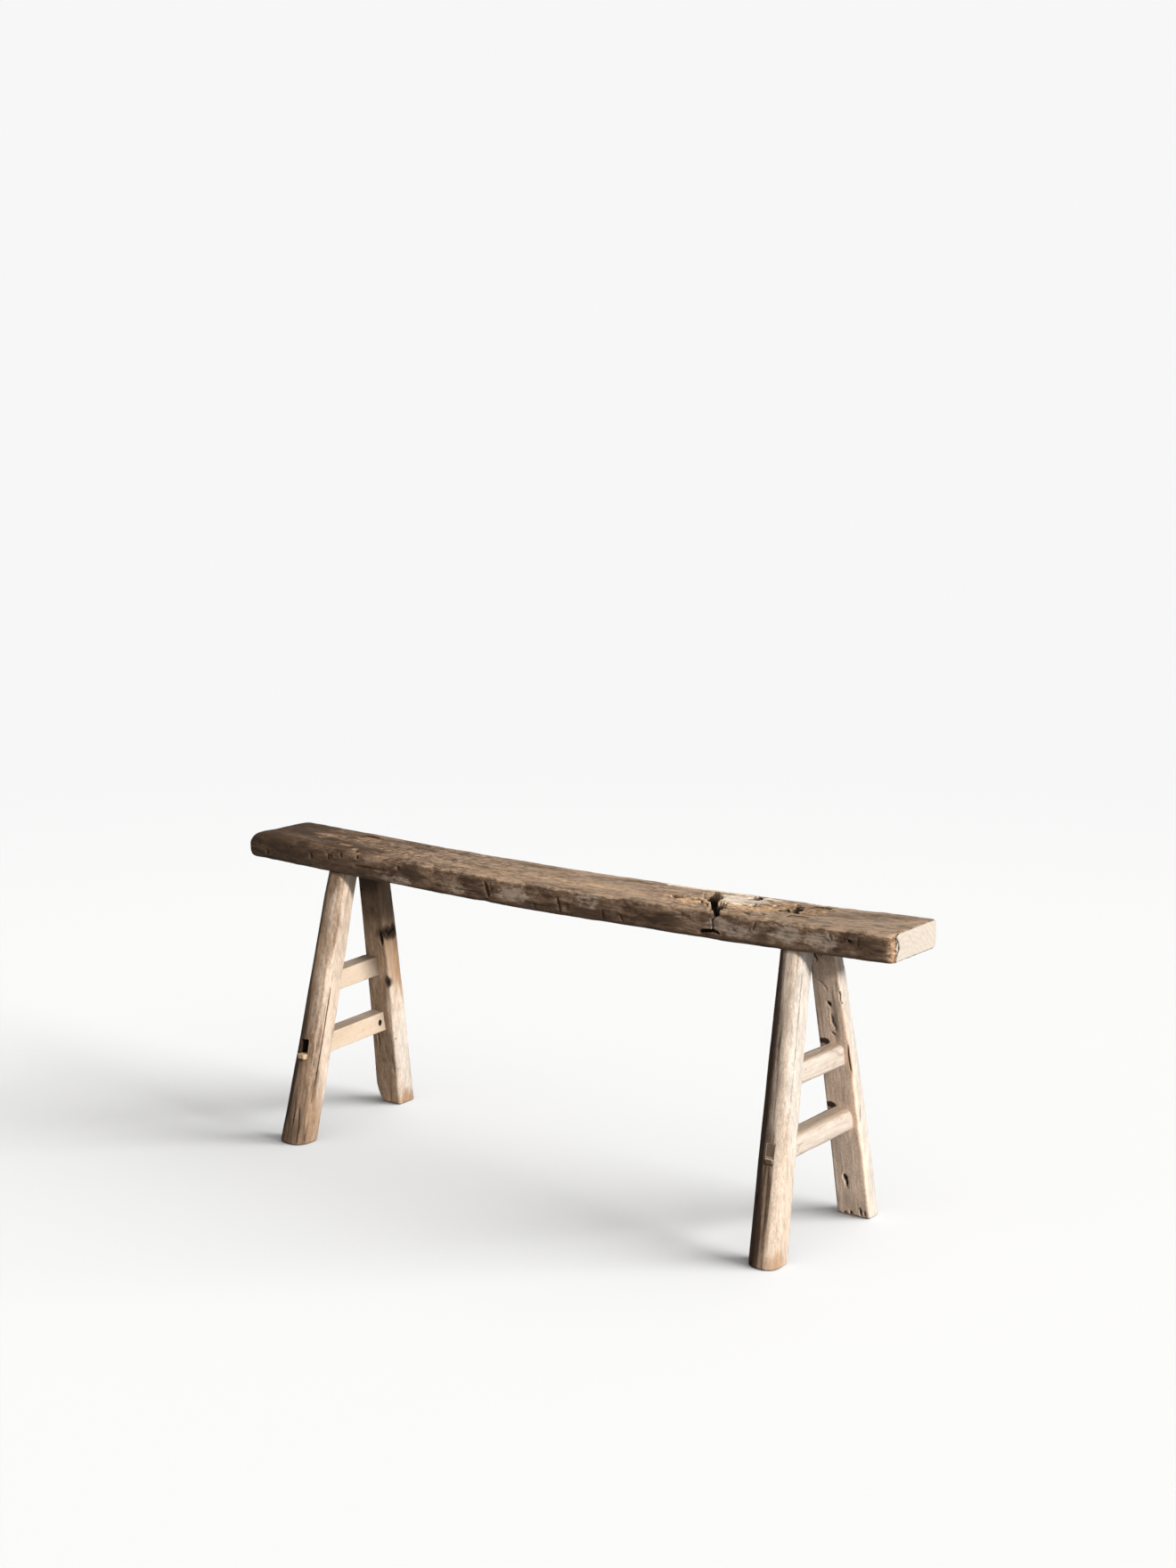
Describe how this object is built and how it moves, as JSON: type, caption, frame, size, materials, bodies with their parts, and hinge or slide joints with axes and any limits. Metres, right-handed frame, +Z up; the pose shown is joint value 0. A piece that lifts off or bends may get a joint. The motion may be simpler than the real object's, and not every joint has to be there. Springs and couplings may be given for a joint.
{
  "type": "backless bench",
  "caption": "Narrow rustic wooden bench: a sagging thick plank on four splayed legs, tied in pairs by tenoned rungs.",
  "frame": {"origin": "on the floor, under the middle of the bench's bounding box", "axes": "+X along the plank towards its saw-cut end, -Y to the front, +Z up"},
  "size_m": [1.246, 0.3142, 0.4997],
  "materials": {
    "old_plank": "weathered, worn smooth, unfinished",
    "old_leg": "bleached and weathered, unfinished",
    "new_rung": "freshly planed, unfinished",
    "worn_rung": "worn pale, unfinished",
    "wedge": "split and cut, unfinished",
    "iron": "rusted"
  },
  "bodies": {
    "root": {"seat_plank": "old_plank", "leg_front_left": "old_leg", "leg_back_left": "old_leg", "leg_front_right": "old_leg", "leg_back_right": "old_leg", "rung_upper_left": "new_rung", "rung_lower_left": "new_rung", "rung_upper_right": "worn_rung", "rung_lower_right": "worn_rung", "rung_wedge_front_left": "wedge", "rung_wedge_back_left": "wedge", "rung_wedge_front_right": "wedge", "rung_wedge_back_right": "wedge", "rung_nail": "iron"}
  },
  "joints": []
}
